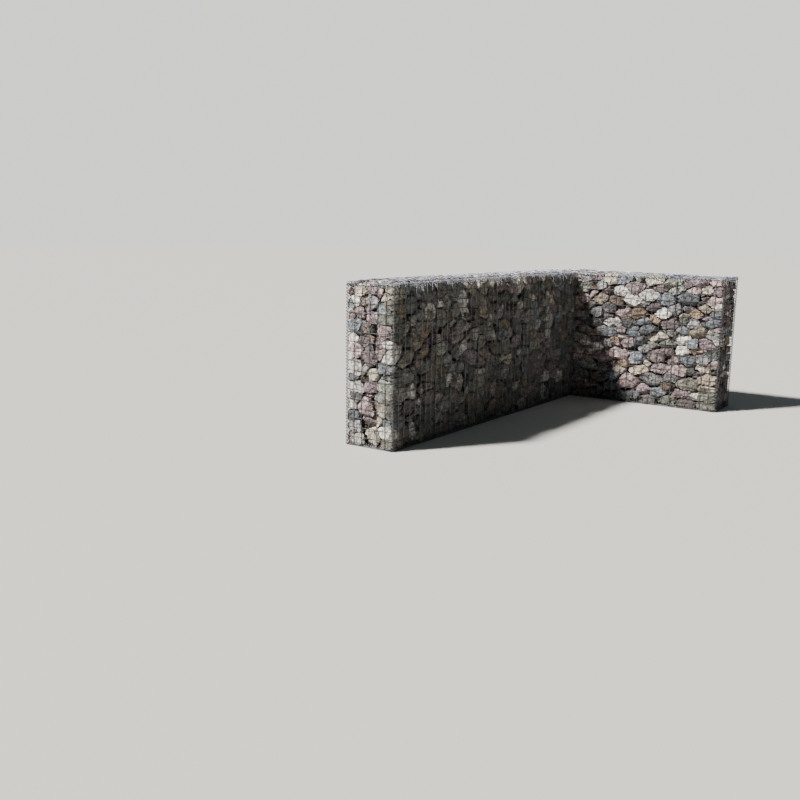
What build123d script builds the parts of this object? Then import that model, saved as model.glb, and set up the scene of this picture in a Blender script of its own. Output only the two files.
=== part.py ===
from build123d import *
import os

# Gabion wall: an L of wire mesh bays filled with broken stone, standing on level ground
# Millimetres, +Z up. The long run lies along X, the return runs toward -Y from its far end
# The origin is on the ground, under the middle of the wall's outline

# Welded mesh
mesh_pitch = 76.2
wire_size = 5.0
selvedge_width = 8.0
weld_gap = 0.3

# Seats between one panel and the next, and between mesh and stone
seat = 0.3

# Wall section, in mesh cells
cells_high = 17
cells_deep = 6

# Bay lengths, in mesh cells, from the near end to the end of the return
near_cells = 8
second_cells = 9
third_cells = 13
fourth_cells = 13
return_first_cells = 14
return_end_cells = 6

# Hidden dividers carry one wire for this many cells
divider_step = 2

# Section and lining sizes that follow
panel_depth = 2 * wire_size + weld_gap
lining = panel_depth + seat
wall_height = cells_high * mesh_pitch
wall_depth = cells_deep * mesh_pitch

# The plan: outline, inner corner, and where each bay begins
run_cells = near_cells + second_cells + third_cells + fourth_cells
return_cells = return_first_cells + return_end_cells
east = (run_cells * mesh_pitch + wall_depth) / 2
north = (return_cells * mesh_pitch + wall_depth) / 2
west = -east
south = -north
inner_x = east - wall_depth
inner_y = north - wall_depth
second_x = west + near_cells * mesh_pitch
third_x = second_x + second_cells * mesh_pitch
fourth_x = third_x + third_cells * mesh_pitch
return_end_y = inner_y - return_first_cells * mesh_pitch

# Outward directions of the wall's faces
to_east = (1, 0, 0)
to_west = (-1, 0, 0)
to_north = (0, 1, 0)
to_south = (0, -1, 0)

os.makedirs("parts", exist_ok=True)


def save(shape, name):
    """Write one piece under its own name."""
    shape.label = name
    export_step(shape, "parts/" + name + ".step")


def mesh_panel(cells_across, cells_up, left, right, top_and_foot, step=1):
    """A welded panel lying flat with its outer side up, centred on its own mesh lines.

    Uprights lie over cross wires, one weld gap apart, and all of them end in the selvedge.
    left, right and top_and_foot say how far the selvedge stands inside the bay's lines.
    """
    nominal_width = cells_across * mesh_pitch
    nominal_height = cells_up * mesh_pitch
    width = nominal_width - left - right
    height = nominal_height - 2 * top_and_foot
    centre = (left - right) / 2
    opening = Rectangle(width - 2 * selvedge_width, height - 2 * selvedge_width)
    selvedge = extrude(Rectangle(width, height) - opening, panel_depth)
    upright = Box(wire_size, height - selvedge_width, wire_size)
    cross_wire = Box(width - selvedge_width, wire_size, wire_size)
    gaps_across = max(1, round(cells_across / step))
    gaps_up = max(1, round(cells_up / step))
    across = GridLocations(nominal_width / gaps_across, 1, gaps_across - 1, 1)
    upward = GridLocations(1, nominal_height / gaps_up, 1, gaps_up - 1)
    uprights = [place * Pos(0, 0, panel_depth - wire_size / 2) * upright for place in across]
    cross_wires = [place * Pos(centre, 0, wire_size / 2) * cross_wire for place in upward]
    panel = Pos(centre, 0, 0) * selvedge + uprights + cross_wires
    return Pos(0, 0, -panel_depth) * panel


def stand(panel, x, y, outward):
    """Stand a panel upright with its outer face through x and y."""
    across = Vector(0, 0, 1).cross(Vector(*outward))
    return Plane(origin=(x, y, wall_height / 2), x_dir=across, z_dir=outward) * panel


def close_bay(name, x, y, cells_along_x, cells_along_y):
    """Lay the base and the lid of the bay whose south-west corner is at x and y."""
    panel = mesh_panel(cells_along_x, cells_along_y, seat / 2, seat / 2, seat / 2)
    middle_x = x + cells_along_x * mesh_pitch / 2
    middle_y = y + cells_along_y * mesh_pitch / 2
    save(Pos(middle_x, middle_y, 0) * Rot(180, 0, 0) * panel, name + "_base")
    save(Pos(middle_x, middle_y, wall_height) * panel, name + "_lid")


def fill_bay(name, west_side, east_side, south_side, north_side):
    """Fill a bay with stone from base to lid, between the sides that its mesh leaves free."""
    stone = Box(east_side - west_side, north_side - south_side, wall_height - 2 * lining)
    middle_x = (west_side + east_side) / 2
    middle_y = (south_side + north_side) / 2
    save(Pos(middle_x, middle_y, wall_height / 2) * stone, name + "_stone_fill")


def run_bay(name, x, cells):
    """One bay of the long run: front and back mesh, base, lid, and stone behind its cross panel."""
    panel = mesh_panel(cells, cells_high, seat / 2, seat / 2, lining)
    end_x = x + cells * mesh_pitch
    save(stand(panel, (x + end_x) / 2, inner_y, to_south), name + "_front_mesh")
    save(stand(panel, (x + end_x) / 2, north, to_north), name + "_back_mesh")
    close_bay(name, x, inner_y, cells, cells_deep)
    fill_bay(name, x + lining, end_x - seat, inner_y + lining, north - lining)


def return_bay(name, y, cells, south_lining):
    """One bay of the return: inner and outer mesh, base, lid, and stone behind its cross panel."""
    panel = mesh_panel(cells, cells_high, seat / 2, seat / 2, lining)
    end_y = y + cells * mesh_pitch
    save(stand(panel, inner_x, (y + end_y) / 2, to_west), name + "_front_mesh")
    save(stand(panel, east, (y + end_y) / 2, to_east), name + "_back_mesh")
    close_bay(name, inner_x, y, cells_deep, cells)
    fill_bay(name, inner_x + lining, east - lining, y + south_lining, end_y - lining)


# Long run, from the near end to the corner
run_bay("near_bay", west, near_cells)
run_bay("second_bay", second_x, second_cells)
run_bay("third_bay", third_x, third_cells)
run_bay("fourth_bay", fourth_x, fourth_cells)

# Corner bay, with mesh on its two outer sides
corner_back = mesh_panel(cells_deep, cells_high, seat / 2, seat / 2, lining)
corner_side = mesh_panel(cells_deep, cells_high, seat / 2, lining, lining)
save(stand(corner_back, (inner_x + east) / 2, north, to_north), "corner_bay_back_mesh")
save(stand(corner_side, east, (inner_y + north) / 2, to_east), "corner_bay_side_mesh")
close_bay("corner_bay", inner_x, inner_y, cells_deep, cells_deep)
fill_bay("corner_bay", inner_x + lining, east - lining, inner_y + seat, north - lining)

# Return, from the corner to its free end, where an end panel lines the last bay
return_bay("return_bay", return_end_y, return_first_cells, seat)
return_bay("return_end_bay", south, return_end_cells, lining)

# End panels, held between the front and back mesh
end_panel = mesh_panel(cells_deep, cells_high, lining, lining, lining)
run_middle = (inner_y + north) / 2
return_middle = (inner_x + east) / 2
save(stand(end_panel, west, run_middle, to_west), "near_end_mesh")
save(stand(end_panel, return_middle, south, to_south), "return_end_mesh")

# Dividers, the cross panels on which the other bays begin
divider = mesh_panel(cells_deep, cells_high, lining, lining, lining, divider_step)
save(stand(divider, second_x, run_middle, to_west), "first_divider")
save(stand(divider, third_x, run_middle, to_west), "second_divider")
save(stand(divider, fourth_x, run_middle, to_west), "third_divider")
save(stand(divider, inner_x, run_middle, to_west), "corner_divider")
save(stand(divider, return_middle, inner_y, to_north), "return_divider")
save(stand(divider, return_middle, return_end_y, to_north), "return_end_divider")
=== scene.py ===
# %% [markdown]
# # A gabion wall
# This lesson dresses a packed wall of stone baskets. The solids already give every panel and every
# bay its place, so each new piece reads its room from them and nothing is fitted by eye.
# We first load the wall, and keep its box.

# %% Load the wall
import bpy
import numpy as np
from mathutils import Matrix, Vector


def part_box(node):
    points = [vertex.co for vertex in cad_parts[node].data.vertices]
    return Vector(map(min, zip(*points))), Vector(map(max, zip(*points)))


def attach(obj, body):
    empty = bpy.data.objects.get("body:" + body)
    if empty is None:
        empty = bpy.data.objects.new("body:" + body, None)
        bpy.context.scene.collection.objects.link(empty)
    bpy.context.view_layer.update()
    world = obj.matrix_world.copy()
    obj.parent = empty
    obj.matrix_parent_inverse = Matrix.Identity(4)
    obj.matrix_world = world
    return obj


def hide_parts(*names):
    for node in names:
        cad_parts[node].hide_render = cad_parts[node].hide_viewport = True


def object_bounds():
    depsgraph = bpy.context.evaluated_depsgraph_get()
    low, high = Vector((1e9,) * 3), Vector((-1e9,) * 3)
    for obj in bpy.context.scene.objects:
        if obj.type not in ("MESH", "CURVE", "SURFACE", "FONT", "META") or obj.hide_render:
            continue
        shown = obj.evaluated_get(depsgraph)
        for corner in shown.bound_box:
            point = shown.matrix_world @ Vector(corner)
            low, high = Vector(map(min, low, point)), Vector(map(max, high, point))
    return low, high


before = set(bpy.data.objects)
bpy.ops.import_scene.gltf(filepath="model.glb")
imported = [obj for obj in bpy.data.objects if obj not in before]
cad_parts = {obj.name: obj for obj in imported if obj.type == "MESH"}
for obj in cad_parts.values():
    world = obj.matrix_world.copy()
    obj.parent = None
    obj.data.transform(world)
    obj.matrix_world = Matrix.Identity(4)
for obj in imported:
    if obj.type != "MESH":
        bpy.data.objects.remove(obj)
cad_box = [list(corner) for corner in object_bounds()]
wall_low, wall_high = np.array(cad_box)
print("wall from", wall_low.round(4), "to", wall_high.round(4))

# %% [markdown]
# ## The camera
# The view is that of somebody who stands in front of the near end and looks along the long run.
# Its place and angles were worked out from the wall's own corners. A camera looks along its own
# minus Z, so its matrix holds three directions as columns: right, up, and backwards.

# %% Set up the camera
eye = (-7.3959, -3.4077, 1.6731)
yaw, pitch, roll = 0.9596, 0.1812, 0.0142
focal_length_px, picture_px, sensor_mm = 896.4, 800, 36.0

forward = np.array([np.sin(yaw) * np.cos(pitch), np.cos(yaw) * np.cos(pitch), -np.sin(pitch)])
level = np.array([np.cos(yaw), -np.sin(yaw), 0.0])
upright = np.cross(level, forward)
right = np.cos(roll) * level + np.sin(roll) * upright
up = np.cos(roll) * upright - np.sin(roll) * level

camera_data = bpy.data.cameras.new("camera")
camera_data.sensor_width = sensor_mm
camera_data.lens = focal_length_px / picture_px * sensor_mm
camera_data.shift_y = -0.002
camera = bpy.data.objects.new("camera", camera_data)
turn = np.eye(4)
turn[:3, 0], turn[:3, 1], turn[:3, 2], turn[:3, 3] = right, up, -forward, eye
camera.matrix_world = Matrix(turn.tolist())
bpy.context.scene.collection.objects.link(camera)
bpy.context.scene.camera = camera
print("lens", round(camera_data.lens, 2), "mm")

# %% [markdown]
# ## From arrays to a mesh
# Every piece here is worked out as arrays of points and faces. This helper writes them into a mesh
# in one go, which is far quicker than adding faces one by one. It also lets the piece ride on the
# wall, gives it the finish it takes, and hides the plain solids that it stands for.

# %% Make a piece from arrays
def joined(parts):
    """One list of points and face groups from several, each part's corners counted on from the last."""
    points, groups, first = [], [], 0
    for part_points, part_groups in parts:
        points.append(part_points)
        groups.extend(group + first for group in part_groups)
        first += len(part_points)
    return np.concatenate(points), groups


def make_piece(name, parts, slot, material, *stands_for):
    """A mesh whose faces are groups of corner numbers, all of one length within a group."""
    points, groups = joined(parts)
    mesh = bpy.data.meshes.new(name)
    corners = np.concatenate([group.ravel() for group in groups]).astype(np.int32)
    lengths = np.concatenate([np.full(len(group), group.shape[1]) for group in groups]).astype(np.int32)
    mesh.vertices.add(len(points))
    mesh.vertices.foreach_set("co", points.astype(np.float32).ravel())
    mesh.loops.add(len(corners))
    mesh.loops.foreach_set("vertex_index", corners)
    mesh.polygons.add(len(lengths))
    mesh.polygons.foreach_set("loop_start", (np.cumsum(lengths) - lengths).astype(np.int32))
    mesh.polygons.foreach_set("loop_total", lengths)
    mesh.update(calc_edges=True)
    mesh.materials.append(material)
    piece = bpy.data.objects.new(name, mesh)
    bpy.context.scene.collection.objects.link(piece)
    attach(piece, "root")
    if stands_for:
        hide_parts(*stands_for)
    return piece, int((lengths - 2).sum())


def write(mesh, name, values):
    """An attribute with one number or one vector for each point, which a finish reads by its name."""
    values = np.asarray(values, np.float32)
    kind, key = ("FLOAT", "value") if values.ndim == 1 else ("FLOAT_VECTOR", "vector")
    mesh.attributes.new(name, kind, "POINT").data.foreach_set(key, values.ravel())

# %% [markdown]
# ## Writing a material as sums
# A material is a graph of nodes. In a script, one line for each node and link soon hides what is
# meant. Wrapped in a small class, a socket can be added and multiplied like a number, and each sum
# adds its Math node, so a recipe reads like a formula.

# %% A socket that does sums
class Tone:
    """One number or colour of a material, on its way through the graph."""

    def __init__(self, graph, socket):
        self.graph, self.socket = graph, socket

    def sum_with(self, operation, first, second):
        return self.graph.add("ShaderNodeMath", {"operation": operation}, {0: first, 1: second})

    def __add__(self, other):
        return self.sum_with("ADD", self, other)

    def __radd__(self, other):
        return self.sum_with("ADD", other, self)

    def __sub__(self, other):
        return self.sum_with("SUBTRACT", self, other)

    def __rsub__(self, other):
        return self.sum_with("SUBTRACT", other, self)

    def __mul__(self, other):
        return self.sum_with("MULTIPLY", self, other)

    def __rmul__(self, other):
        return self.sum_with("MULTIPLY", other, self)


class Graph:
    """A material's nodes, all made by one method."""

    def __init__(self, name):
        self.material = bpy.data.materials.new(name)
        self.material.use_nodes = True
        self.tree = self.material.node_tree
        self.surface = self.tree.nodes["Principled BSDF"]

    def add(self, kind, settings, values, output=0):
        """A node with its settings made first, then its values set or linked, and one output returned."""
        node = self.tree.nodes.new(kind)
        for key, setting in settings.items():
            if key == "stops":
                ramp = node.color_ramp
                while len(ramp.elements) < len(setting):
                    ramp.elements.new(0.5)
                for element, (place, colour) in zip(ramp.elements, setting):
                    element.position = place
                    element.color = (*colour, 1.0)
            elif key == "spread":
                node.color_ramp.interpolation = setting
            else:
                setattr(node, key, setting)
        for key, value in values.items():
            self.join(node.inputs[key], value)
        return Tone(self, node.outputs[output])

    def join(self, socket, value):
        """Links a tone to a socket, or sets the socket to a plain value."""
        if isinstance(value, Tone):
            self.tree.links.new(value.socket, socket)
        else:
            socket.default_value = value

    def noise(self, place, scale, detail=2.0, roughness=0.5):
        """Cloudy noise from 0 to 1, with about scale clouds to the metre."""
        return self.add("ShaderNodeTexNoise", {}, {
            "Vector": place, "Scale": scale, "Detail": detail, "Roughness": roughness})

    def cells(self, place, scale):
        """Cells about 1 / scale metres wide, each with a number of its own from 0 to 1."""
        colour = self.add("ShaderNodeTexVoronoi", {}, {"Vector": place, "Scale": scale}, "Color")
        return self.add("ShaderNodeSeparateColor", {}, {"Color": colour}, 0)

    def between(self, value, low, high, out_low=0.0, out_high=1.0):
        """A smooth step from out_low, where the value is low, to out_high, where it is high."""
        return self.add("ShaderNodeMapRange", {"interpolation_type": "SMOOTHSTEP"}, {
            "Value": value, "From Min": low, "From Max": high, "To Min": out_low, "To Max": out_high})

    def upright_part(self, vector):
        """The Z of a place or a direction."""
        return self.add("ShaderNodeSeparateXYZ", {}, {"Vector": vector}, "Z")

    def mix(self, factor, first, second, blend="MIX"):
        """Colours go through Mix, because a Math node would turn them grey."""
        return self.add("ShaderNodeMix", {"data_type": "RGBA", "blend_type": blend},
                        {0: factor, 6: first, 7: second}, 2)

    def attribute(self, name, output="Fac"):
        """What the piece's own mesh says under that name, at each point."""
        return self.add("ShaderNodeAttribute", {"attribute_name": name}, {}, output)

    def bump(self, height, distance, strength=1.0, under=None):
        """The surface's direction as if it rose by height * distance, on top of another bump."""
        values = {"Height": height, "Distance": distance, "Strength": strength}
        if under is not None:
            values["Normal"] = under
        return self.add("ShaderNodeBump", {}, values)

    def finish(self, **sockets):
        """Sets or links sockets of the surface shader, and gives the material back."""
        for name, value in sockets.items():
            self.join(self.surface.inputs[name.replace("_", " ")], value)
        return self.material


def rgb(*parts):
    return (*parts, 1.0)

# %% [markdown]
# ## The finish of the wire
# Hot-dip zinc is a soft grey metal. On old wire it has weathered: dull patches of oxide, a fine
# spangle, and a little rust where the welds broke the coat. A picture of old zinc could be laid
# on, but it would stretch along a wire and repeat. Noise in the object's own coordinates gives
# each layer at its own size instead, from patches as long as a hand down to the spangle.
#
# Where a wire lies also sets its finish, so its mesh says that in two attributes. One that lies
# behind another, or stands in a corner, is duller and is painted darker: painted shade, where the
# other wires and the corner shade it. The lids and the spirals round the top are painted pale and
# bluish in uneven bands, and so, less, are the uprights of the long front: a painted reflection of
# the sky. Other wires are painted paler on their upper side only: a painted highlight from above.

# %% How the wire has weathered, and where painted light and shade go
patch_scale, sheen_streak_scale, rust_scale = 9.0, 26.0, 31.0
spangle_scale, pitting_scale = 420.0, 600.0

zinc = Graph("zinc_weathered_and_painted_light")
where = zinc.add("ShaderNodeTexCoord", {}, {}, "Object")
# The first says how much painted shade a wire gets, the second how much painted sky sheen.
sheltered = zinc.attribute("sheltered")
rinsed = zinc.attribute("rinsed")
facing_way = zinc.add("ShaderNodeNewGeometry", {}, {}, "Normal")
# The upper sides of the wires, where a painted highlight goes.
upward = zinc.between(zinc.upright_part(facing_way), 0.45, 0.95)
patches = zinc.between(zinc.noise(where, patch_scale, 4.0, 0.6), 0.42, 0.64)
# Noise that breaks the painted sky sheen into uneven bands.
sheen_streaks = zinc.between(zinc.noise(where, sheen_streak_scale, 3.0), 0.45, 0.58)
rust = zinc.between(zinc.noise(where, rust_scale, 5.0, 0.65), 0.66, 0.78)
glint = zinc.between(zinc.cells(where, spangle_scale), 0.0, 1.0)
pitting = zinc.noise(where, pitting_scale)

# %% Weathered zinc, with painted shade, sheen and highlight
dark_spangle, bright_spangle = rgb(0.065, 0.065, 0.075), rgb(0.16, 0.165, 0.185)
# The second colour, near black, is painted shade for wires behind others or in a corner.
oxide, painted_shade_dark = rgb(0.04, 0.038, 0.044), rgb(0.045, 0.042, 0.046)
# A pale painted highlight for the upper sides of wires, and a pale bluish painted reflection of the sky.
painted_top_sheen, painted_sky_sheen = rgb(0.28, 0.29, 0.33), rgb(0.30, 0.335, 0.45)
rust_brown = rgb(0.13, 0.07, 0.04)

bright = zinc.mix(glint, dark_spangle, bright_spangle)
dulled = zinc.mix(patches, bright, oxide)
# Painted shade on wires that lie behind others or stand in a corner.
shade_darkened = zinc.mix(sheltered * 0.8, dulled, painted_shade_dark)
# Painted highlight on the upper side of each wire.
top_sheened = zinc.mix(upward * (0.5 - sheltered * 0.42 - rinsed * 0.3), shade_darkened, painted_top_sheen)
# Painted reflection of the sky on the lids, the top spirals and the long front's uprights.
sky_sheened = zinc.mix(rinsed * sheen_streaks * 0.9, top_sheened, painted_sky_sheen)
rusty = zinc.mix(rust * 0.5, sky_sheened, rust_brown)
metallic = (0.7 - patches * 0.3 - rust * 0.3 - sheltered * 0.3) * (1.0 - rinsed * 0.55)
roughness = 0.44 + patches * 0.14 + rust * 0.2 + sheltered * 0.16 - rinsed * 0.14
zinc_wire = zinc.finish(
    Base_Color=rusty, Metallic=metallic, Roughness=roughness,
    Normal=zinc.bump(pitting, 0.0004, 0.5))
print("zinc nodes", len(zinc.tree.nodes))

# %% [markdown]
# ## The finish of the stone
# The fill is mixed field stone. Mauve and pinkish rock and the two cool greys are the commonest,
# cream and white stones catch the eye, and rusty ones are the rarest. Each kind could have a
# material of its own, but then every bay would need as many pieces. One ramp that turns a number
# into a colour keeps all stones in one finish, and noise breaks that colour up.
#
# The mesh says four things about each stone: its kind of rock, how light it is, with painted light
# that makes the topmost stones paler, its place in the rock it was broken from, which is another
# for every stone, so that no vein runs on into its neighbour, and how thick a layer of painted shade
# it has on the long front.

# %% Kinds of rock
kinds = {
    "white quartz": (0.10, (0.76, 0.745, 0.70)),
    "cream limestone": (0.11, (0.46, 0.405, 0.325)),
    "pinkish granite": (0.145, (0.27, 0.18, 0.185)),
    "grey granite": (0.125, (0.135, 0.138, 0.15)),
    "blue grey basalt": (0.125, (0.085, 0.112, 0.155)),
    "mauve porphyry": (0.15, (0.155, 0.088, 0.118)),
    "tan sandstone": (0.04, (0.25, 0.135, 0.062)),
    "buff sandstone": (0.055, (0.28, 0.215, 0.14)),
    "greenish grey": (0.07, (0.10, 0.118, 0.088)),
    "dark slate": (0.055, (0.036, 0.041, 0.052)),
    "rusty brown": (0.025, (0.135, 0.062, 0.032)),
}
kind_names = list(kinds)
shares = np.array([share for share, _ in kinds.values()])
kind_starts = np.concatenate([[0.0], np.cumsum(shares)])
kind_middles = (kind_starts[:-1] + kind_starts[1:]) / 2
stops = [(start, colour) for start, (_, colour) in zip(kind_starts, kinds.values())]
print(len(kinds), "kinds of rock, shares add up to", round(kind_starts[-1], 3))

# %% How the rock varies
mottle_scale, lump_scale, chip_scale = 26.0, 20.0, 30.0
grain_scale, crystal_scale = 150.0, 190.0

stone = Graph("broken_stone")
kind = stone.attribute("kind")
lightness = stone.attribute("lightness")
rock_place = stone.attribute("rock_place", "Vector")
rock = stone.add("ShaderNodeValToRGB", {"stops": stops, "spread": "CONSTANT"}, {"Fac": kind})
mottle = stone.noise(rock_place, mottle_scale, 6.0, 0.68)
grain = stone.noise(rock_place, grain_scale, 3.0, 0.7)
lumps = stone.noise(rock_place, lump_scale, 5.0, 0.62)
chips = stone.add("ShaderNodeTexVoronoi", {}, {"Vector": rock_place, "Scale": chip_scale}, "Distance")
crystal = stone.cells(rock_place, crystal_scale)
# Darker where the bump's noise is low: painted shade in the hollows of each stone.
painted_hollow_shade = stone.between(lumps, 0.36, 0.52, 0.48, 1.0)
shade = (0.32 + lightness + (grain - 0.5) * 1.1) * painted_hollow_shade

# %% Broken stone
stain, bleach, chalk = rgb(0.42, 0.40, 0.41), rgb(1.22, 1.22, 1.2), rgb(0.80, 0.77, 0.72)
dark_crystal, bright_crystal = rgb(0.05, 0.048, 0.046), rgb(0.74, 0.72, 0.69)

stained = stone.mix(1.0, rock, stain, "MULTIPLY")
bleached = stone.mix(1.0, rock, bleach, "MULTIPLY")
chalky = stone.mix(0.12, bleached, chalk)
mottled = stone.mix(stone.between(mottle, 0.38, 0.60), stained, chalky)
speckled = stone.mix(stone.between(crystal, 0.70, 0.9) * 0.5, mottled, dark_crystal)
glittering = stone.mix(stone.between(crystal, 0.25, 0.1) * 0.3, speckled, bright_crystal)
shade_grey = stone.add("ShaderNodeCombineColor", {}, {0: shade, 1: shade, 2: shade})
toned = stone.mix(1.0, glittering, shade_grey, "MULTIPLY")

# %% Soil at the foot, painted shade on the long front, and relief
soil, painted_shade_olive = rgb(0.080, 0.072, 0.048), rgb(0.082, 0.085, 0.056)
splash_top, splash_full = 0.36, 0.14

stone_where = stone.add("ShaderNodeTexCoord", {}, {}, "Object")
ragged_height = stone.upright_part(stone_where) + stone.noise(stone_where, 14.0, 4.0) * 0.3
splashed = stone.between(ragged_height, splash_top, splash_full)
soiled = stone.mix(splashed * 0.36, toned, soil)
# Painted shade: the stones of the long front, which is in shade, are toned dull and greenish.
shade_filmed = stone.mix(stone.attribute("film") * 0.45, soiled, painted_shade_olive)
coarse = stone.bump(lumps + chips * 0.6, 0.040)
broken_stone = stone.finish(
    Base_Color=shade_filmed,
    Roughness=0.88 - crystal * 0.2,
    Normal=stone.bump(grain, 0.006, under=coarse))
print("stone nodes", len(stone.tree.nodes))

# %% [markdown]
# ## Round wire along a path
# A wire is a circle carried along a line. A curve with a round bevel gives the same tube, but one
# object at a time. As arrays, all wires that have the same number of points are made at once: at
# each point of a line we take two directions across it and turn a circle between them.

# %% Wire from paths
def wire(paths, radius, sides, aside=(0.31, 0.52, 0.79)):
    """Each path point plus radius * (cos t * n + sin t * b), where n and b are square to the path
    and t goes once round. Aside is a way that no path runs. Both ends are closed by a flat face."""
    paths = np.asarray(paths, float)
    along = np.gradient(paths, axis=1)
    along /= np.linalg.norm(along, axis=2, keepdims=True)
    n = np.cross(along, np.asarray(aside, float))
    n /= np.linalg.norm(n, axis=2, keepdims=True)
    b = np.cross(along, n)
    t = np.arange(sides) * 2 * np.pi / sides
    ring = np.cos(t)[:, None] * n[:, :, None] + np.sin(t)[:, None] * b[:, :, None]
    points = paths[:, :, None] + radius * ring
    number = np.arange(points[..., 0].size).reshape(points.shape[:3])
    here, ahead = number[:, :-1], number[:, 1:]
    quads = np.stack([here, np.roll(here, -1, 2), np.roll(ahead, -1, 2), ahead], -1).reshape(-1, 4)
    ends = np.concatenate([number[:, 0, ::-1], number[:, -1]])
    return points.reshape(-1, 3), [quads, ends]

# %% [markdown]
# ## Welded mesh
# Each basket side is a welded panel: uprights outside, cross wires behind, fused where they
# cross, and a thinner wire along each edge, where the spirals hold it. The solids carry square
# bars, which is enough to build with. A Wireframe modifier on a grid would make a round net, but
# with all its wires in one layer, so here every wire follows a path of its own.
#
# No panel is flat. The sides belly out a little, as they do when stone leans on them. The lids
# are drawn over a heap, so they rise from the rim of the wall to its middle, also across the
# seams, and less towards the end of the return.

# %% How far the panels bulge
side_belly, lid_belly = 0.007, 0.0333
lower_at_end = 0.6
inner_x, inner_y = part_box("corner_bay_lid")[0][:2]


def swell(u, v):
    """Root of sin(pi u) * sin(pi v): nothing at the rim of a panel, and full in the middle."""
    return np.sqrt((np.sin(np.pi * u) * np.sin(np.pi * v)).clip(0))


def crown(x, y):
    """How far the lids rise: belly * root of sin(90 degrees * share), where share is the distance
    from the nearest side of the L over half the wall's depth. It is lower on the return."""
    inner = np.hypot((x - inner_x).clip(0), (y - inner_y).clip(0))
    from_sides = [x - wall_low[0], wall_high[0] - x, y - wall_low[1], wall_high[1] - y, inner]
    share = (2 * np.minimum.reduce(from_sides) / (wall_high[1] - inner_y)).clip(0, 1)
    lower = 1 - lower_at_end * ((inner_y - y) / (inner_y - wall_low[1])).clip(0, 1)
    return lid_belly * lower * np.sqrt(np.sin(np.pi / 2 * share))

# %% Wires of one panel
mesh_pitch = 0.0762
wire_radius, edge_radius, wire_sides = 0.0027, 0.0018, 5
weld_depth = 0.0047
rim_margin = 0.02
ripple_middle, ripple_height, ripple_waves = 1.09, 0.06, (17, 23)


def grid_lines(axis, low, high):
    """The lines a whole number of cells from the wall's lowest corner, well between low and high."""
    first = np.ceil((low + rim_margin - wall_low[axis]) / mesh_pitch)
    last = np.floor((high - rim_margin - wall_low[axis]) / mesh_pitch)
    return wall_low[axis] + mesh_pitch * np.arange(first, last + 1)


def panel_wires(low, high, outward, bulge):
    """Straight wires in two layers, moved outwards by bulge * swell(u, v), or by the crown of the
    lids if bulge is None, where u and v go from 0 to 1 across the panel. A slight sine ripple
    makes that uneven. Also a value for each point, 1 on cross wires and 0 elsewhere."""
    thin = int(np.argmin(high - low))
    one, other = [axis for axis in range(3) if axis != thin]
    face = high[thin] if outward > 0 else low[thin]
    parts, behind = [], []
    for across, along, depth in [(one, other, wire_radius), (other, one, wire_radius + weld_depth)]:
        crossings = grid_lines(along, low[along], high[along])
        stations = np.concatenate([[low[along]], crossings, [high[along]]])
        rows = grid_lines(across, low[across], high[across])
        edges = np.array([low[across] + edge_radius, high[across] - edge_radius])
        for lines, radius in ((rows, wire_radius), (edges, edge_radius)):
            path = np.zeros((len(lines), len(stations), 3))
            path[..., across] = lines[:, None]
            path[..., along] = stations
            u, v = [(path[..., axis] - low[axis]) / (high - low)[axis] for axis in (one, other)]
            wave = path[..., one] * ripple_waves[0] + path[..., other] * ripple_waves[1]
            rise = crown(path[..., 0], path[..., 1]) if bulge is None else bulge * swell(u, v)
            ripple = ripple_middle + ripple_height * np.sin(wave)
            path[..., thin] = face - outward * depth + outward * rise * ripple
            parts.append(wire(path, radius, wire_sides))
            is_behind = depth > wire_radius and radius == wire_radius
            behind.append(np.full(len(parts[-1][0]), float(is_behind)))
    return parts, np.concatenate(behind)

# %% [markdown]
# Each panel is named with the way its outside faces, along its thin axis, and how far it bellies
# out. The solids' boxes say everything else. A wire keeps to the grid of mesh cells that starts at
# the wall's lowest corner, so the wires of a side meet those of its lid.

# %% Make the mesh panels
run_bays = ["near_bay", "second_bay", "third_bay", "fourth_bay"]
return_bays = ["return_bay", "return_end_bay"]
faces_out = {}
for bay in run_bays + return_bays:
    faces_out[bay + "_front_mesh"] = (-1, side_belly)
    faces_out[bay + "_back_mesh"] = (1, side_belly)
for bay in run_bays + return_bays + ["corner_bay"]:
    faces_out[bay + "_base"] = (-1, 0.0)
    faces_out[bay + "_lid"] = (1, None)
faces_out["corner_bay_back_mesh"] = (1, side_belly)
faces_out["corner_bay_side_mesh"] = (1, side_belly)
faces_out["near_end_mesh"] = (-1, side_belly)
faces_out["return_end_mesh"] = (-1, side_belly)
for divider in ("first", "second", "third", "corner"):
    faces_out[divider + "_divider"] = (-1, 0.0)
for divider in ("return", "return_end"):
    faces_out[divider + "_divider"] = (1, 0.0)

# Cross wires of the lids get less painted shade. Lids, and less the long front's uprights, get painted
# sky sheen.
lid_shelter, open_front_sheen = 0.3, 0.35
open_fronts = [bay + "_front_mesh" for bay in run_bays]
triangles = 0
for node, (outward, bulge) in faces_out.items():
    low, high = (np.array(corner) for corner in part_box(node))
    parts, behind = panel_wires(low, high, outward, bulge)
    panel, count = make_piece(node + "_wires", parts, "zinc_wire", zinc_wire, node)
    on_lid = node.endswith("_lid")
    front_sheen = open_front_sheen * (node in open_fronts)
    write(panel.data, "sheltered", behind * (lid_shelter if on_lid else 1.0))
    write(panel.data, "rinsed", on_lid + front_sheen * (1 - behind))
    panel.data.shade_smooth()
    triangles += count
print(len(faces_out), "panels,", triangles, "triangles")

# %% [markdown]
# ## Spiral binders
# The baskets are laced together with long wire spirals, screwed down each corner and each seam
# and all along the top and foot. A Screw modifier could wind them, but then the one that crosses
# a lid couldn't rise with it. So a spiral is worked out as a circle whose centre moves along a
# line. It makes three turns to a mesh cell, or two where it is thick, round the top. The corners
# have wide spirals, and the seams thin and narrow ones.

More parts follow.
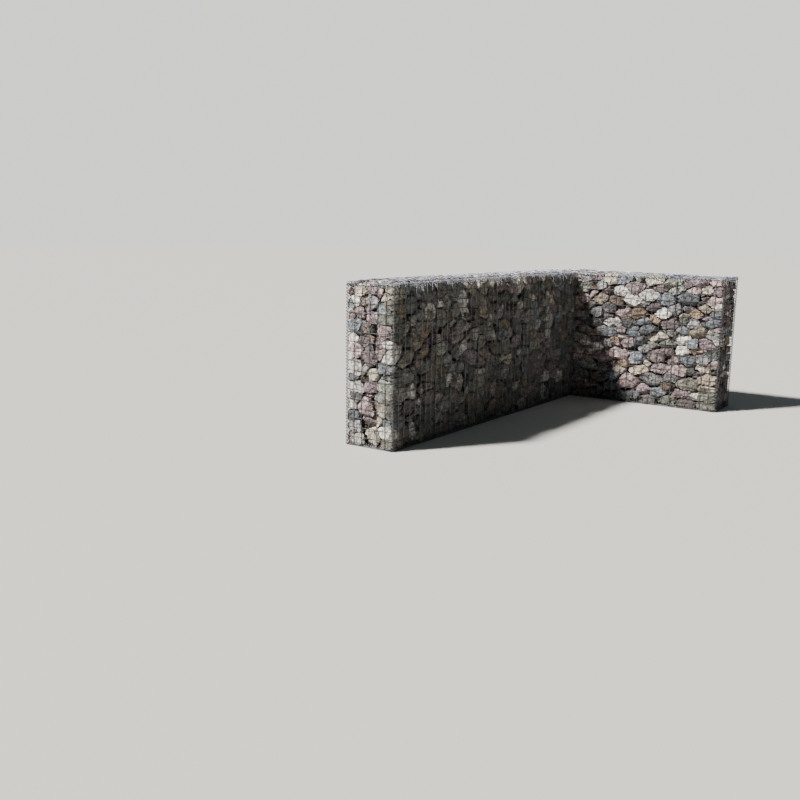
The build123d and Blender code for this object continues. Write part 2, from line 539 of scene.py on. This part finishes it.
# %% One spiral
corner_binder = {"coil": 0.012, "thick": 0.0021, "turns_per_cell": 3}
top_binder = {"coil": 0.016, "thick": 0.0027, "turns_per_cell": 2}
foot_binder = {"coil": 0.016, "thick": 0.0021, "turns_per_cell": 3}
seam_binder = {"coil": 0.006, "thick": 0.001, "turns_per_cell": 3}
steps_per_turn, spiral_sides = 9, 4


def spiral(start, end, coil, thick, turns_per_cell, first_angle=0.0, rise=0.0):
    """start to end along a line, plus coil * (cos a, sin a) in the two directions square to it,
    where a makes a few turns to each mesh cell. It is lifted by rise * the crown of the lids."""
    start, end = np.asarray(start, float), np.asarray(end, float)
    run = end - start
    length = np.linalg.norm(run)
    axis = run / length
    side = np.array([0.0, 0.0, 1.0]) if abs(axis[2]) < 0.5 else np.array([1.0, 0.0, 0.0])
    over = np.cross(axis, side)
    turns = length / mesh_pitch * turns_per_cell
    t = np.linspace(0, 1, int(turns * steps_per_turn) + 1)
    a = 2 * np.pi * turns * t + first_angle
    line = start + t[:, None] * run
    path = line + coil * (np.cos(a)[:, None] * side + np.sin(a)[:, None] * over)
    path[:, 2] += rise * crown(line[:, 0], line[:, 1])
    return wire(path[None], thick, spiral_sides, axis)

# %% Upright binders
west, south, foot = wall_low
east, north, top = wall_high
inset = 0.005
near_x, return_x, far_x = west + inset, inner_x + inset, east - inset
end_y, front_y, back_y = south + inset, inner_y + inset, north - inset
seams_x = [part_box(bay + "_lid")[0][0] for bay in ("second_bay", "third_bay", "fourth_bay")]
return_seam_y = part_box("return_end_bay_lid")[1][1]

# x, y and how sheltered: how much painted shade darkens the spiral
corners = [
    (near_x, front_y, 0.6), (near_x, back_y, 1.0), (far_x, back_y, 1.0),
    (return_x, inner_y - inset, 1.0), (return_x, end_y, 0.7), (far_x, end_y, 0.9)]
seams = [(x, y, 0.9) for x in seams_x for y in (front_y, back_y)]
seams += [(inner_x, back_y, 0.2), (far_x, inner_y, 0.2)]
seams += [(x, return_seam_y, 0.2) for x in (return_x, far_x)]

low_end = foot + foot_binder["coil"] + 2 * foot_binder["thick"]
high_end = top - inset
parts, shade_shares = [], []
for places, binder in ((corners, corner_binder), (seams, seam_binder)):
    for x, y, shade_share in places:
        parts.append(spiral((x, y, low_end), (x, y, high_end), **binder, first_angle=0.7 * x))
        shade_shares.append(np.full(len(parts[-1][0]), shade_share))
uprights, count = make_piece("upright_binders", parts, "zinc_wire", zinc_wire)
write(uprights.data, "sheltered", np.concatenate(shade_shares))
uprights.data.shade_smooth()
print(len(parts), "upright binders,", count, "triangles")

# %% Top and foot binders
rims = [
    ((west, front_y), (inner_x, front_y)), ((west, back_y), (east, back_y)),
    ((return_x, south), (return_x, inner_y)), ((far_x, south), (far_x, north)),
    ((near_x, inner_y), (near_x, north)), ((inner_x, end_y), (east, end_y))]
joins = [((x, inner_y), (x, north)) for x in [*seams_x, inner_x]]
joins += [((inner_x, y), (east, y)) for y in (return_seam_y, inner_y)]
levels = [("top_binders", high_end, top_binder, 1.0), ("foot_binders", low_end, foot_binder, 0.0)]
for name, z, binder, on_lids in levels:
    parts = [spiral((*start, z), (*end, z), **binder) for start, end in rims]
    parts += [spiral((*start, z), (*end, z), **seam_binder, rise=on_lids) for start, end in joins]
    binders, count = make_piece(name, parts, "zinc_wire", zinc_wire)
    # The top spirals get the painted sky sheen, the foot spirals none.
    write(binders.data, "rinsed", np.full(len(binders.data.vertices), on_lids))
    binders.data.shade_smooth()
    print(name, len(parts), "binders,", count, "triangles")

# %% [markdown]
# ## Settling the stones
# Stones tipped into a basket share its room: each takes the space that is nearer to it than to
# any other. A physics run could drop them in, but it takes minutes for two thousand stones and
# leaves them looser than a hand-packed basket. So we scatter centres at random, give each a
# size, and let them move to the middle of their own share a few times. Big stones push further,
# because their size counts in the distance. Heights are stretched first, so that the finished
# stones lie flatter than they are wide. The return was filled with flat stones, and the run with
# more blocky ones.
#
# Two sorts of stone are placed one by one, as the real ones are. A column of squared stones goes up
# each corner of a basket first. And the near end and the return's sunny face each have some
# stones that one notices at once. They are listed by the mesh cells they lie in, counted along
# the face from its end with the lower y and up from the foot, then their kind, lightness and
# weight in thousandths of a square metre.

# %% Stones placed one by one
corner_rise, corner_depth, corner_steps = (0.09, 0.15), (0.035, 0.055), 40
corner_start, corner_headroom = 0.04, 0.03
noticed_depth = 0.048
noticed_from = {
    "near_end": (wall_low[0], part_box("near_end_mesh")[0][1], wall_low[2]),
    "return_front": (inner_x, wall_low[1], wall_low[2]),
}
noticed = {
    "near_end": [
        (4.3, 16.2, "cream limestone", 0.7, 4), (2.5, 16.3, "mauve porphyry", 0.8, 2),
        (0.9, 15.6, "cream limestone", 0.8, 2), (4.7, 15.1, "white quartz", 0.8, 2),
        (2.7, 15.1, "grey granite", 1.1, 3), (5.5, 14.6, "blue grey basalt", 0.7, 2),
        (4.3, 14.0, "pinkish granite", 0.6, 3), (1.2, 14.3, "blue grey basalt", 0.8, 3),
        (2.5, 13.5, "mauve porphyry", 1.0, 3), (5.0, 12.8, "blue grey basalt", 1.1, 3),
        (3.7, 12.3, "rusty brown", 1.0, 1), (1.1, 12.3, "pinkish granite", 0.9, 6),
        (4.6, 10.2, "pinkish granite", 1.0, 3), (0.7, 11.0, "white quartz", 1.0, 1),
        (2.9, 9.3, "mauve porphyry", 0.5, 6), (1.3, 10.0, "pinkish granite", 0.5, 2),
        (4.7, 8.2, "white quartz", 0.4, 3), (0.9, 8.4, "blue grey basalt", 0.8, 3),
        (2.6, 7.7, "cream limestone", 0.8, 2), (4.8, 6.3, "white quartz", 0.6, 3),
        (2.9, 6.4, "mauve porphyry", 0.9, 2), (0.9, 6.6, "greenish grey", 1.3, 5),
        (1.3, 5.2, "grey granite", 0.9, 2), (3.3, 4.2, "pinkish granite", 0.9, 7),
        (5.2, 4.4, "white quartz", 0.5, 2), (1.0, 4.1, "cream limestone", 0.6, 2),
        (1.8, 3.0, "cream limestone", 0.8, 1), (4.8, 2.2, "grey granite", 1.3, 3),
        (0.8, 1.8, "white quartz", 0.9, 3), (2.6, 1.4, "cream limestone", 1.0, 4),
        (0.6, 0.7, "greenish grey", 1.0, 1), (4.3, 0.7, "white quartz", 0.5, 1)],
    "return_front": [
        (7.3, 13.9, "blue grey basalt", 0.7, 6), (7.6, 12.2, "white quartz", 0.9, 3),
        (3.1, 12.6, "tan sandstone", 0.8, 4), (1.1, 14.0, "pinkish granite", 1.0, 3),
        (1.2, 11.3, "blue grey basalt", 0.5, 5), (9.4, 14.4, "white quartz", 0.5, 3),
        (4.6, 7.6, "white quartz", 0.8, 4), (2.7, 10.0, "buff sandstone", 0.6, 4),
        (5.2, 5.0, "pinkish granite", 0.9, 6), (1.3, 4.0, "buff sandstone", 0.7, 4),
        (1.9, 6.5, "grey granite", 0.9, 4), (4.3, 2.0, "mauve porphyry", 0.6, 4),
        (13.4, 14.8, "white quartz", 0.9, 4), (16.4, 13.7, "buff sandstone", 0.5, 4),
        (11.7, 15.4, "mauve porphyry", 0.8, 4), (11.0, 11.9, "tan sandstone", 0.3, 3),
        (16.6, 15.5, "grey granite", 1.4, 3), (15.0, 16.3, "cream limestone", 0.7, 2),
        (5.9, 15.3, "greenish grey", 1.5, 4), (3.6, 15.2, "pinkish granite", 1.0, 3),
        (8.8, 16.4, "cream limestone", 0.8, 1), (2.0, 15.4, "cream limestone", 0.7, 3)],
}


def corner_stones(low, high, flatness, random):
    """Up each of the four corners: heights that add up steps at random, and depths at random."""
    steps = random.uniform(*corner_rise, (4, corner_steps))
    rise = low[2] - corner_start + steps.cumsum(1) / flatness
    depth = random.uniform(*corner_depth, (4, corner_steps, 2))
    side = np.array([(0, 0), (0, 1), (1, 0), (1, 1)])[:, None]
    flat = np.where(side == 0, low[:2] + depth, high[:2] - depth)
    return np.concatenate([flat, rise[..., None]], 2)[rise < high[2] - corner_headroom]


def noticed_stones(low, high):
    """Those of the noticed stones that lie in this basket: their place, kind, lightness, weight."""
    found = []
    for face, stones in noticed.items():
        for along, rise, name, light, heavy in stones:
            place = noticed_from[face] + np.array([0.0, along, rise]) * mesh_pitch
            place[0] += noticed_depth
            if (place > low).all() and (place < high).all():
                found.append((place, kind_names.index(name), light, heavy / 1000))
    return found

# %% Let the stones settle
least_weight, most_weight, heavy_rarity = -0.002, 0.014, 2.3
corner_weight = (0.002, 0.007)
rounds, samples_each = 6, 70


def power_to(samples, centres, weight):
    """Squared distance less the stone's weight, for each sample and stone."""
    apart = (samples ** 2).sum(1)[:, None] - 2 * samples @ centres.T + (centres ** 2).sum(1)
    return apart - weight


def settle(low, high, count, placed, held, random):
    """Centres that move to the mean of the samples they own, a few times over. Few are heavy. The
    placed ones come first, and those that are held, which have their own weights, don't move."""
    centres = random.uniform(low, high, (count, 3))
    centres[:len(placed)] = placed
    share_of_weight = random.uniform(0.0, 1.0, count) ** heavy_rarity
    weight = least_weight + (most_weight - least_weight) * share_of_weight
    weight[:len(placed)] = random.uniform(*corner_weight, len(placed))
    weight[:len(held)] = held
    for _ in range(rounds):
        samples = random.uniform(low, high, (count * samples_each, 3))
        owner = power_to(samples, centres, weight).argmin(1)
        owned = np.maximum(np.bincount(owner, minlength=count), 1)[:, None]
        total = np.stack([np.bincount(owner, samples[:, axis], count) for axis in range(3)], 1)
        centres = np.where(owned > 1, total / owned, centres)
        centres[:len(held)] = placed[:len(held)]
    return centres, weight

# %% [markdown]
# ## The shape of a stone
# A stone that has settled is bounded by flat faces, one towards each neighbour and one against
# the mesh, with its edges worn round. In any direction d from the centre, face j lies at
# distance D_j / (d . n_j). The stone's surface is a soft minimum of those: one over the k-th
# root of the sum of (d . n_j / D_j) to the power k. A small k gives a cobble, a large one a
# sharp block. A few more faces at random are the scars of the hammer.

# %% The grid that every stone is worked out on
def ball_grid(steps):
    """Directions through the crossings of six square grids on a cube, spaced at equal angles."""
    place = np.stack(np.meshgrid(*[np.arange(steps + 1)] * 3, indexing="ij"), -1)
    outside = ((place == 0) | (place == steps)).any(-1)
    number = np.full(outside.shape, -1)
    number[outside] = np.arange(outside.sum())
    directions = np.tan((place[outside] / steps - 0.5) * np.pi / 2)
    quads = []
    for axis in range(3):
        for side, order in ((0, (0, 3, 2, 1)), (steps, (0, 1, 2, 3))):
            sheet = np.take(number, side, axis)
            if axis == 1:
                sheet = sheet.T
            cell = np.stack([sheet[:-1, :-1], sheet[1:, :-1], sheet[1:, 1:], sheet[:-1, 1:]], -1)
            quads.append(cell.reshape(-1, 4)[:, order])
    return directions / np.linalg.norm(directions, axis=1, keepdims=True), np.concatenate(quads)


seen_ball, hidden_ball = ball_grid(5), ball_grid(2)
print("a stone that shows has", len(seen_ball[1]), "faces, one inside", len(hidden_ball[1]))

# %% [markdown]
# Stones seldom meet face to face. There is a joint of a millimetre between them and a gap at
# random, mostly a hair and sometimes two centimetres. Against the mesh a face leans a little and
# may stand back by up to four centimetres, which gives the wall its dark hollows.

# %% How stones part, lean and break
neighbours, scars = 22, 10
touch, corner_touch = 0.08, 0.10
joint, gap_shape, gap_size, widest_gap = 0.001, 0.5, 0.0075, 0.02
least_gap, eased_gap, inside_overlap = 0.55, 0.45, 0.003
wall_lean, wall_press, corner_ease = 0.24, 0.004, 0.25
usual_back, furthest_back, back_by_side = 0.010, 0.04, (1, 1, 1.5, 1, 1, 1)
scar_range, scar_spared, scar_outward, scar_inside = (0.62, 1.05), 1.3, 0.42, 0.05
least_size, least_reach = 0.02, 0.012


def facing(count, each, random):
    """Directions at random, the same chance for every way."""
    ways = random.normal(size=(count, each, 3))
    return ways / np.linalg.norm(ways, axis=2, keepdims=True)

# %% Find the faces that bound each stone
def bounding_faces(low, high, centres, weight, random):
    """The normal of each face and its distance from the stone's centre: towards the neighbours,
    against the mesh, where it leans a little and may stand back, most of all under the lid, and
    the scars. Stones in a corner of the basket are picked square, so they lean less and hardly a
    scar cuts their corner. Those inside, which nobody sees, close up on each other."""
    count = len(centres)
    away = power_to(centres, centres, weight) + 1e3 * np.eye(count)
    nearest = np.argsort(away, 1)[:, :neighbours]
    toward = centres[nearest] - centres[:, None]
    apart = np.linalg.norm(toward, axis=2)
    reach = (apart ** 2 + weight[:, None] - weight[nearest]) / (2 * apart)
    gaps = joint + random.gamma(gap_shape, gap_size, reach.shape).clip(0, widest_gap)
    square = np.concatenate([np.eye(3), -np.eye(3)])
    room = np.concatenate([high - centres, centres - low], 1)
    close = room < touch
    inside = ~close.any(1)[:, None]
    cornered = (room[:, [0, 1, 3, 4]] < corner_touch).sum(1) > 1
    ease = np.where(cornered, corner_ease, 1.0)[:, None]
    reach += np.where(inside, inside_overlap, -gaps * (least_gap + eased_gap * ease))
    wall = square + random.normal(0, wall_lean, (count, 6, 3)) * ease[..., None]
    wall /= np.linalg.norm(wall, axis=2, keepdims=True)
    stand_back = random.exponential(usual_back, room.shape).clip(0, furthest_back) * ease * back_by_side
    wall_reach = room + wall_press - stand_back
    scar = facing(count, scars, random)
    outward = (scar @ square.T * close[:, None]).clip(0).sum(2)
    spared = np.where(cornered, scar_spared, 1.0)[:, None]
    size = reach.clip(least_size).mean(1, keepdims=True)
    cut_at = size * random.uniform(*scar_range, (count, scars))
    scar_reach = cut_at * spared * (1 + scar_outward * outward) + scar_inside * inside
    normals = np.concatenate([toward / apart[..., None], wall, scar], 1)
    distances = np.concatenate([reach, wall_reach, scar_reach], 1).clip(least_reach)
    return normals, distances, close.any(1), cornered

# %% [markdown]
# A grid of directions would round every edge off to its own coarse steps. So on the sharper stones
# a point that comes close to an edge is moved onto it. Its own face i and the next face j meet
# there: with c = n_i . n_j and r the distance still missing to face j, the shortest way is
# r / (1 - c^2) along n_j less c times that along n_i.

# %% Shape the stones
sharpness_range, crisp_from = (14, 60), 26
snap, corner_snap = 0.010, 0.018
wave_count, wave_spread, wave_shift, wave_height = 5, 4.2, 6.3, 0.012
tilt, nearly_flat = 0.03, 0.02


def turn_matrices(quaternions):
    """The turn that each quaternion stands for, once it has a length of 1."""
    w, x, y, z = quaternions / np.linalg.norm(quaternions, axis=0)
    return np.stack([
        1 - 2 * (y * y + z * z), 2 * (x * y - z * w), 2 * (x * z + y * w),
        2 * (x * y + z * w), 1 - 2 * (x * x + z * z), 2 * (y * z - x * w),
        2 * (x * z - y * w), 2 * (y * z + x * w), 1 - 2 * (x * x + y * y)], -1).reshape(-1, 3, 3)


def stone_points(ball, centres, normals, reach, cornered, random):
    """The soft minimum of the face distances in each direction, broken up by five waves. At last
    each stone is tilted a little, so that its faces don't run on from its neighbour's."""
    count = len(centres)
    directions = np.einsum("vc,sdc->svd", ball, turn_matrices(random.normal(size=(4, count))))
    lean = np.einsum("svc,snc->svn", directions, normals).clip(0) / reach[:, None]
    sharpness = random.uniform(*sharpness_range, (count, 1, 1))
    radius = (lean ** sharpness).sum(2) ** (-1 / sharpness[..., 0])
    points = radius[..., None] * directions
    crisp = (sharpness > crisp_from) | cornered[:, None, None]
    limit = np.where(cornered, corner_snap, snap)[:, None, None]
    order = np.argsort(lean, 2)
    first, second = (np.take_along_axis(normals, order[..., -rank, None], 1) for rank in (1, 2))
    points += (1 / lean.max(2) - radius)[..., None] * directions * crisp
    c = (first * second).sum(2)
    missing = np.take_along_axis(reach, order[..., -2], 1) - (second * points).sum(2)
    step = missing / (1 - c ** 2).clip(nearly_flat)
    onto = step[..., None] * (second - c[..., None] * first)
    points += onto * crisp * (np.linalg.norm(onto, axis=2, keepdims=True) < limit)
    waves = random.normal(0, wave_spread, (count, wave_count, 3))
    shift = random.uniform(0, wave_shift, (count, 1, wave_count))
    ripple = np.sin(np.einsum("svc,snc->svn", directions, waves) + shift)
    points *= 1 + wave_height * ripple.sum(2)[..., None]
    slight = np.concatenate([np.ones((1, count)), random.normal(0, tilt, (3, count))])
    return centres[:, None] + np.einsum("svc,sdc->svd", points, turn_matrices(slight))

# %% [markdown]
# Only stones that touch the mesh are seen, so the ones inside get far fewer faces. Both lots keep
# the numbers of their stones, so that each finds its kind and lightness later.

# %% Stones of one basket
past_room = 0.003


def stones_of(low, high, flatness, volume, found, random):
    """Stones of a box in two lots, those against the mesh and those inside: which they are, their
    points and their centres."""
    stretch = np.array([1.0, 1.0, flatness])
    count = int(np.prod(high - low) / volume)
    places = [place for place, *_ in found] + list(corner_stones(low, high, flatness, random))
    placed, held = np.array(places) * stretch, [heavy for *_, heavy in found]
    room = low * stretch, high * stretch
    centres, weight = settle(*room, count, placed, held, random)
    normals, reach, touching, cornered = bounding_faces(*room, centres, weight, random)
    seen = touching | cornered
    lots = []
    for lot, (ball, quads) in ((seen, seen_ball), (~seen, hidden_ball)):
        chosen = np.flatnonzero(lot)
        bounds = normals[chosen], reach[chosen], cornered[chosen]
        points = stone_points(ball, centres[chosen], *bounds, random) / stretch
        points = points.clip(low - past_room, high + past_room)
        lots.append((chosen, points, centres[chosen] / stretch, quads))
    return lots

# %% [markdown]
# ## Filling the baskets
# One stone copied hundreds of times would be a lighter mesh, but the eye finds twins at once, so
# every stone here is its own. All stones of a bay are one piece, which stands for its plain fill.
# Each filling has its own seed, flatness, volume of a stone in cubic metres, and lightness of the
# lightest, so that one bay can be filled again without a change in the others. The two bays of
# the return are filled together, because their seam hardly shows on the real wall, and a stone
# belongs to the bay that has its centre.

# %% What fills each bay
run_flatness, return_flatness = 1.2, 1.6
near_stone_volume, run_stone_volume, return_stone_volume = 0.0012, 0.0014, 0.0015
fillings = {
    "near_bay": (11, run_flatness, near_stone_volume, 1.0),
    # The second to fourth bays get paler stones: painted light that lifts the long front, which is in
    # shade.
    "second_bay": (21, run_flatness, run_stone_volume, 1.2),
    "third_bay": (32, run_flatness, run_stone_volume, 1.2),
    "fourth_bay": (42, run_flatness, run_stone_volume, 1.1),
    "corner_bay": (52, run_flatness, run_stone_volume, 1.0),
    "return_bay": (69, return_flatness, return_stone_volume, 1.14),
}

# %% [markdown]
# The stones press the panels out, so they have to follow their bellies. A bay's stones also take
# up half the room of each divider beside it, because a divider is only wire, and the solid fills
# would leave a slot there.

# %% The room of each bay
def bellied(points, low, high, sides):
    """Each side moves out by its belly * swell(u, v) * (share of the way across) to the fourth, and
    the top rises likewise with the crown of the lids."""
    share = (points - low) / (high - low)
    moved = points.copy()
    for axis, way, bulge in sides:
        u, v = [share[..., other] for other in range(3) if other != axis]
        near = share[..., axis] if way > 0 else 1 - share[..., axis]
        moved[..., axis] += way * bulge * swell(u, v) * near.clip(0, 1) ** 4
    moved[..., 2] += crown(points[..., 0], points[..., 1]) * share[..., 2].clip(0, 1) ** 4
    return moved


bellies = {bay: [(1, -1, side_belly), (1, 1, side_belly)] for bay in run_bays}
bellies.update({bay: [(0, -1, side_belly), (0, 1, side_belly)] for bay in return_bays})
bellies["near_bay"].append((0, -1, side_belly))
bellies["return_end_bay"].append((1, -1, side_belly))
bellies["corner_bay"] = [(0, 1, side_belly), (1, 1, side_belly)]

rooms = {bay: np.array(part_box(bay + "_stone_fill")) for bay in bellies}
meetings = [(bay, after, 0) for bay, after in zip(run_bays, run_bays[1:] + ["corner_bay"])]
meetings += [("return_bay", "corner_bay", 1), ("return_end_bay", "return_bay", 1)]
for lower, upper, axis in meetings:
    middle = (rooms[lower][1, axis] + rooms[upper][0, axis]) / 2
    rooms[lower][1, axis] = rooms[upper][0, axis] = middle
print("the near bay has room for", np.ptp(rooms["near_bay"], 0).prod().round(2), "cubic metres")

# %% [markdown]
# What the finish reads is written with the shells. The topmost stones are made paler: painted light
# on the top of the wall. A dull, greenish layer of painted shade lies on the long front, which is
# always in shade, and thins out a hand's breadth behind it.

# %% Fill every bay
top_layer, painted_top_lightness = 0.11, 0.3
shade_film_depth = 0.12
rock_spread = 50
sharp_edge = np.radians(27)


def bay_stones(bay, lots, rock_kind, light, random):
    """The shells of the stones whose centre is in this bay, and what the finish reads on them."""
    low, high = rooms[bay]
    shells, marks = [], {"kind": [], "lightness": [], "film": [], "rock_place": []}
    for chosen, points, centres, quads in lots:
        here = (centres[:, 1] > low[1]) & (centres[:, 1] < high[1])
        chosen, points, centres = chosen[here], points[here], centres[here]
        count, each = points.shape[:2]
        faces = (quads + (np.arange(count) * each)[:, None, None]).reshape(-1, 4)
        shells.append((bellied(points, low, high, bellies[bay]).reshape(-1, 3), [faces]))
        # The topmost stones get painted light: they are made paler.
        topmost = centres[:, 2] > high[2] - top_layer
        # How much painted shade a stone of the long front gets, less the further in it lies.
        film = (1 - (points[..., 1].ravel() - low[1]) / shade_film_depth).clip(0, 1)
        rock_start = random.uniform(-rock_spread, rock_spread, (count, 1, 3))
        marks["kind"].append(np.repeat(kind_middles[rock_kind[chosen]], each))
        marks["lightness"].append(np.repeat(light[chosen] + painted_top_lightness * topmost, each))
        marks["film"].append(film * (bay in run_bays))
        marks["rock_place"].append((points - centres[:, None] + rock_start).reshape(-1, 3))
    return shells, {name: np.concatenate(values) for name, values in marks.items()}


stones_laid = 0
for together in [[bay] for bay in run_bays + ["corner_bay"]] + [return_bays]:
    low = np.min([rooms[bay][0] for bay in together], 0)
    high = np.max([rooms[bay][1] for bay in together], 0)
    found = noticed_stones(low, high)
    seed, flatness, volume, lightest_stone = fillings[together[0]]
    random = np.random.default_rng(seed)
    lots = stones_of(low, high, flatness, volume, found, random)
    laid = sum(len(chosen) for chosen, *_ in lots)
    rock_kind = random.choice(len(shares), laid, p=shares)
    light = random.uniform(0, lightest_stone, laid)
    rock_kind[:len(found)] = [number for _, number, _, _ in found]
    light[:len(found)] = [lit for _, _, lit, _ in found]
    stones_laid += laid
    for bay in together:
        shells, marks = bay_stones(bay, lots, rock_kind, light, random)
        fill, made = make_piece(
            bay + "_stones", shells, "broken_stone", broken_stone, bay + "_stone_fill")
        for name, values in marks.items():
            write(fill.data, name, values)
        fill.data.shade_smooth()
        fill.data.set_sharp_from_angle(angle=sharp_edge)
        print(bay, made, "triangles")
    print(laid, "stones settled together,", len(found), "of them noticed")
print(stones_laid, "stones in all")

# %% [markdown]
# ## Floor and light
# The floor is plain and pale, and the surroundings are too. One soft lamp stands behind and to the
# left, where it lights the near end and the inner side of the return and leaves the long front in
# shade. It is a distant lamp, so the floor is lit evenly, where an area lamp would leave a bright
# spot. The pale surroundings only glow faintly on the wall, and the camera sees them at the
# floor's own tone.

# %% Floor
floor_reach = 90.0
square = [(-1, -1), (1, -1), (1, 1), (-1, 1)]
floor_corners = [(x * floor_reach, y * floor_reach, 0) for x, y in square]
floor_mesh = bpy.data.meshes.new("floor")
floor_mesh.from_pydata(floor_corners, [], [(0, 1, 2, 3)])
floor = bpy.data.objects.new("floor", floor_mesh)
bpy.context.scene.collection.objects.link(floor)
paving = Graph("pale_floor")
floor_mesh.materials.append(paving.finish(Base_Color=rgb(0.41, 0.41, 0.395), Roughness=0.9))

# %% Surroundings
world = bpy.data.worlds.new("surroundings")
world.use_nodes = True
sky = world.node_tree
glow = sky.nodes["Background"]
glow.inputs["Color"].default_value = rgb(0.83, 0.93, 0.98)
glow.inputs["Strength"].default_value = 0.15
backdrop = sky.nodes.new("ShaderNodeBackground")
backdrop.inputs["Color"].default_value = rgb(0.925, 0.92, 0.90)
backdrop.inputs["Strength"].default_value = 1.36
ray = sky.nodes.new("ShaderNodeLightPath")
choose = sky.nodes.new("ShaderNodeMixShader")
sky.links.new(ray.outputs["Is Camera Ray"], choose.inputs[0])
sky.links.new(glow.outputs[0], choose.inputs[1])
sky.links.new(backdrop.outputs[0], choose.inputs[2])
sky.links.new(choose.outputs[0], sky.nodes["World Output"].inputs["Surface"])
bpy.context.scene.world = world

# %% Lamp
lamp_from = np.array([-0.62, 0.43, 0.80])
lamp_distance = 12

lamp_data = bpy.data.lights.new("key_lamp", "SUN")
lamp_data.angle = np.radians(6)
lamp_data.energy = 13.6
lamp_data.color = (1.0, 0.955, 0.89)
lamp = bpy.data.objects.new("key_lamp", lamp_data)
bpy.context.scene.collection.objects.link(lamp)
lamp_from /= np.linalg.norm(lamp_from)
side_way = np.cross([0.0, 0.0, 1.0], lamp_from)
side_way /= np.linalg.norm(side_way)
place = np.eye(4)
place[:3, 0], place[:3, 1], place[:3, 2] = side_way, np.cross(lamp_from, side_way), lamp_from
place[:3, 3] = lamp_from * lamp_distance
lamp.matrix_world = Matrix(place.tolist())
print("lamp at", place[:3, 3].round(2))
